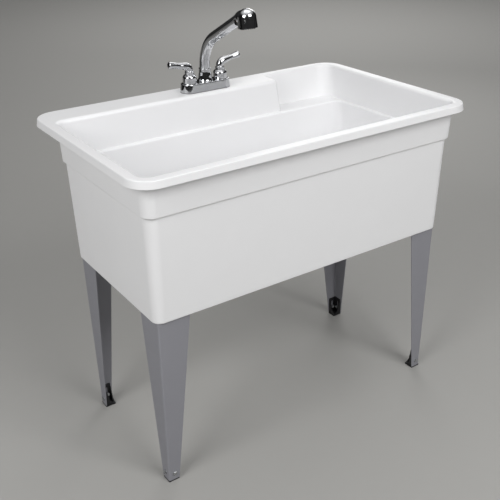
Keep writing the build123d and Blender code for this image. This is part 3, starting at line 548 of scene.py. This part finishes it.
class SINK_OT_threads(Operator):
    """Adds the threads of the tap's inlets and of the drain's body"""

    bl_idname = "laundry_sink.threads"
    bl_label = "Inlet and drain threads"

    def execute(self, context):
        sizes = context.scene.laundry_sink_threads
        inlet_bore, inlet_foot_gap, inlet_nut_gap = 9.5 * MM, 1 * MM, 0.5 * MM
        drain_bore, drain_gap = 21 * MM, 0.3 * MM
        nut_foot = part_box("mounting_nuts")[0][2]
        for name in ("hot", "cold"):
            low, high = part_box(name + "_valve")
            x = (low[0] + high[0]) / 2
            thread = add_thread(sizes.inlet_radius - sizes.depth, sizes.inlet_radius, sizes.inlet_pitch,
                                low[2] + inlet_foot_gap, nut_foot - inlet_nut_gap, bore=inlet_bore)
            thread.location.x = x
            thread.location.y = TAP_Y
            apply_place(thread, 20)
            hand_over(thread, name + "_inlet_thread", "brass", "base")
        low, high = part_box("strainer_body")
        thread = add_thread(sizes.drain_radius - sizes.depth, sizes.drain_radius, sizes.drain_pitch,
                            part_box("slip_nut")[1][2] + drain_gap,
                            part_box("drain_locknut")[0][2] - drain_gap, bore=drain_bore, segments=64)
        thread.location.x = (low[0] + high[0]) / 2
        thread.location.y = (low[1] + high[1]) / 2
        apply_place(thread, 20)
        hand_over(thread, "drain_thread", "stainless_steel", "base")
        return {"FINISHED"}


class SINK_OT_spray_hose(Operator):
    """Adds the hose that runs up the spout to the spray head"""

    bl_idname = "laundry_sink.spray_hose"
    bl_label = "Spray hose"

    def execute(self, context):
        sizes = context.scene.laundry_sink_spray
        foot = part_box("spray_hose")[0][2]
        turn = radians(90) - sizes.rise
        setback = sizes.bend_radius * tan(turn / 2)
        bend_foot = RIM_HEIGHT + sizes.bend_height - setback
        way = Vector((0, -cos(sizes.rise), sin(sizes.rise)))
        corner = Vector((0, TAP_Y, RIM_HEIGHT + sizes.bend_height))
        end = corner + way * (sizes.run - sizes.socket_depth)

        clear_table()
        bpy.ops.mesh.primitive_circle_add(
            vertices=28, radius=sizes.hose_radius, location=(0, TAP_Y, foot))
        hose = context.object
        bpy.ops.object.transform_apply(location=True, rotation=True, scale=True)
        open_ring()
        steps = 12
        for _ in range(steps):
            draw_out((0, 0, (bend_foot - foot) / steps))
        bpy.ops.mesh.spin(steps=24, angle=turn, center=(0, TAP_Y - sizes.bend_radius, bend_foot),
                          axis=(-1, 0, 0))
        bent = corner + way * setback
        ring = [point.co for point in bmesh.from_edit_mesh(hose.data).verts if point.select]
        middle = sum(ring, Vector()) / len(ring)
        if (middle - bent).length > 0.5 * MM:
            raise RuntimeError("the hose's bend didn't end on the spout's line")
        steps = 48
        for _ in range(steps):
            draw_out(way * ((end - bent).length / steps))
        bpy.ops.mesh.select_all(action="SELECT")
        bpy.ops.mesh.fill_holes(sides=0)
        close_mesh()
        apply_place(hose, 40)
        hand_over(hose, "braided_hose", "grey_plastic", None, "spray_hose")
        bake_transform(hose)
        return {"FINISHED"}


class SINK_OT_spray_face(Operator):
    """Adds the spray face with its rings of soft nozzles"""

    bl_idname = "laundry_sink.spray_face"
    bl_label = "Spray face and nozzles"

    def execute(self, context):
        sizes = context.scene.laundry_sink_spray
        way = Vector((0, -cos(sizes.rise), sin(sizes.rise)))
        up = Vector((0, sin(sizes.tilt), cos(sizes.tilt)))
        corner = Vector((0, TAP_Y, RIM_HEIGHT + sizes.bend_height))
        mouth = corner + way * (sizes.run + sizes.axis_reach) - up * sizes.axis_height
        matrix = Matrix((Vector((1, 0, 0)), up.cross(Vector((1, 0, 0))), up)).transposed().to_4x4()
        matrix.translation = mouth
        proud, sunk = 1.5 * MM, 4 * MM

        # Face: a disc with a broken rim, a groove inside it and a raised middle.
        clear_table()
        bpy.ops.mesh.primitive_cylinder_add(
            vertices=96, radius=sizes.face_radius, depth=proud + sunk,
            location=(0, 0, (sunk - proud) / 2))
        face = context.object
        bpy.ops.object.mode_set(mode="EDIT")
        select_faces(lambda middle, normal: normal.z < -0.9)
        bpy.ops.mesh.bevel(offset=0.7 * MM, segments=3, affect="EDGES")
        select_faces(lambda middle, normal: normal.z < -0.9 and middle.xy.length < 0.1 * MM)
        bpy.ops.mesh.inset(thickness=0.8 * MM)
        bpy.ops.mesh.inset(thickness=0.4 * MM, depth=-0.5 * MM)
        bpy.ops.mesh.inset(thickness=0.4 * MM, depth=0.5 * MM)
        bpy.ops.mesh.inset(thickness=0.78 * sizes.face_radius)
        bpy.ops.mesh.inset(thickness=0.3 * MM, depth=0.6 * MM)
        close_mesh()
        apply_place(face)
        face.data.transform(matrix)
        hand_over(face, "spray_disc", "grey_plastic", "spray_head", "spray_face")

        # Nozzle: a short cone with a sunk mouth.
        clear_table()
        bpy.ops.mesh.primitive_cone_add(
            vertices=14, radius1=0.7 * sizes.nozzle_radius, radius2=sizes.nozzle_radius,
            depth=1.5 * MM, location=(0, 0, -proud - 0.7 * MM))
        nozzle = context.object
        bpy.ops.object.mode_set(mode="EDIT")
        select_faces(lambda middle, normal: normal.z < -0.9)
        bpy.ops.mesh.inset(thickness=0.3 * sizes.nozzle_radius)
        bpy.ops.mesh.inset(thickness=0.05 * sizes.nozzle_radius, depth=-0.5 * MM)
        close_mesh()
        apply_place(nozzle)
        nozzles = []
        for ring in range(1, sizes.rings + 1):
            radius = sizes.ring_radius + sizes.ring_gap * (ring - 1)
            for step in range(6 * ring):
                turn = radians(360) * step / (6 * ring)
                spot = Matrix.Translation((radius * cos(turn), radius * sin(turn), 0))
                nozzles.append(copy_to(nozzle, "nozzle", matrix @ spot))
        bpy.data.objects.remove(nozzle)
        clear_table()
        for copy in nozzles:
            copy.select_set(True)
        context.view_layer.objects.active = nozzles[0]
        bpy.ops.object.join()
        hand_over(context.object, "spray_nozzles", "rubber", "spray_head")
        return {"FINISHED"}


# ---------------------------------------------------------------- stage

def aim(piece, spot, target):
    """Turns a lamp or a card at a spot to face a target."""
    piece.location = spot
    piece.rotation_euler = (Vector(target) - Vector(spot)).to_track_quat("-Z", "Y").to_euler()


class SINK_OT_stage(Operator):
    """Adds the floor, the light, the dark cards that outline the chrome, and the camera"""

    bl_idname = "laundry_sink.stage"
    bl_label = "Studio floor, light and camera"

    def execute(self, context):
        studio = context.scene.laundry_sink_studio
        clear_table()
        bpy.ops.mesh.primitive_plane_add(size=16)
        floor = context.object
        floor.name = "studio_floor"
        floor.data.materials.append(studio_paint())

        # Even light all round, which polished metal sees as a dark room with a pale ceiling.
        world = bpy.data.worlds.new("studio_world")
        context.scene.world = world
        world.use_nodes = True
        tree = world.node_tree
        tree.nodes.clear()
        way = add_node(tree, "ShaderNodeTexCoord").outputs["Generated"]
        split = add_node(tree, "ShaderNodeSeparateXYZ", links={"Vector": way})
        ceiling = add_node(tree, "ShaderNodeMapRange",
                           values={"From Min": 0.5, "From Max": 0.9, "To Min": 0.03, "To Max": 0.9},
                           links={"Value": split.outputs["Z"]})
        path = add_node(tree, "ShaderNodeLightPath")
        level = add_node(tree, "ShaderNodeMix", values={"A": studio.daylight},
                         links={"Factor": path.outputs["Is Glossy Ray"], "B": ceiling.outputs["Result"]})
        sky = add_node(tree, "ShaderNodeBackground", values={"Color": (1, 1, 1, 1)},
                       links={"Strength": level.outputs["Result"]})
        add_node(tree, "ShaderNodeOutputWorld", links={"Surface": sky.outputs["Background"]})

        lamps = (
            ("key", (0.4, -2.8, 2.7), (0, 0, 0.6), 1.8, 66),
            ("side", (-2.8, -0.9, 2.3), (0, 0, 0.6), 1.6, 49),
            ("top", (0.3, 0.3, 3.2), (0, 0, 0.6), 2.0, 11),
            ("fill", (2.4, 2.2, 2.0), (0, 0, 0.5), 1.8, 18),
            ("backdrop", (3.6, 4.2, 3.4), (3.6, 5.2, 0), 3.0, 90),
        )
        for name, spot, target, size, power in lamps:
            bpy.ops.object.light_add(type="AREA")
            lamp = context.object
            lamp.name = name + "_lamp"
            lamp.data.size = size
            lamp.data.energy = power
            aim(lamp, spot, target)

        # Cards that only reflections see, as a photographer sets beside polished metal.
        black = grained("flock_card", linear("0A0A0A"), 0.05, (0.9, 1.0), 5, 0.05, 60)
        cards = (
            ("left_card", (-1.7, 1.1, 1.1)),
            ("right_card", (1.9, 0.3, 1.1)),
        )
        for name, spot in cards:
            clear_table()
            bpy.ops.mesh.primitive_plane_add(size=1.6)
            card = context.object
            card.name = name
            card.data.materials.append(black)
            aim(card, spot, (0, TAP_Y, 1.0))
            card.visible_camera = False
            card.visible_diffuse = False
            card.visible_shadow = False
            card.visible_transmission = False

        bpy.ops.object.camera_add()
        camera = context.object
        camera.name = "photo_camera"
        back = Vector((
            sin(studio.azimuth) * cos(studio.elevation),
            -cos(studio.azimuth) * cos(studio.elevation),
            sin(studio.elevation),
        ))
        right = (-back).cross(Vector((0, 0, 1))).normalized()
        up = right.cross(-back)
        rolled_right = right * cos(studio.roll) + up * sin(studio.roll)
        rolled_up = up * cos(studio.roll) - right * sin(studio.roll)
        matrix = Matrix((rolled_right, rolled_up, back)).transposed().to_4x4()
        matrix.translation = Vector(studio.target) + back * studio.distance
        camera.matrix_world = matrix
        camera.data.sensor_width = 36
        camera.data.lens = studio.focal_ratio * camera.data.sensor_width
        context.scene.camera = camera
        context.scene.view_settings.view_transform = "Standard"
        return {"FINISHED"}


class SINK_PT_panel(Panel):
    bl_label = "Laundry sink"
    bl_idname = "SINK_PT_panel"
    bl_space_type = "VIEW_3D"
    bl_region_type = "UI"
    bl_category = "Laundry Sink"

    def draw(self, context):
        for operator in OPERATORS:
            self.layout.operator(operator.bl_idname)
        for name, group in SETTINGS:
            box = self.layout.box()
            for entry in group.__annotations__:
                box.prop(getattr(context.scene, name), entry)


SETTINGS = (
    ("laundry_sink_colours", LaundrySinkColours),
    ("laundry_sink_levellers", LaundrySinkLevellers),
    ("laundry_sink_threads", LaundrySinkThreads),
    ("laundry_sink_spray", LaundrySinkSpray),
    ("laundry_sink_studio", LaundrySinkStudio),
)
OPERATORS = (
    SINK_OT_dress_frame,
    SINK_OT_levellers,
    SINK_OT_threads,
    SINK_OT_spray_hose,
    SINK_OT_spray_face,
    SINK_OT_stage,
)


def register():
    for _, group in SETTINGS:
        bpy.utils.register_class(group)
    for entry in (*OPERATORS, SINK_PT_panel):
        bpy.utils.register_class(entry)
    for name, group in SETTINGS:
        setattr(bpy.types.Scene, name, PointerProperty(type=group))


def unregister():
    for name, _ in SETTINGS:
        delattr(bpy.types.Scene, name)
    for entry in reversed((*OPERATORS, SINK_PT_panel)):
        bpy.utils.unregister_class(entry)
    for _, group in reversed(SETTINGS):
        bpy.utils.unregister_class(group)


def main():
    register()
    for operator in OPERATORS:
        group, name = operator.bl_idname.split(".")
        getattr(getattr(bpy.ops, group), name)()


if __name__ == "__main__":
    main()
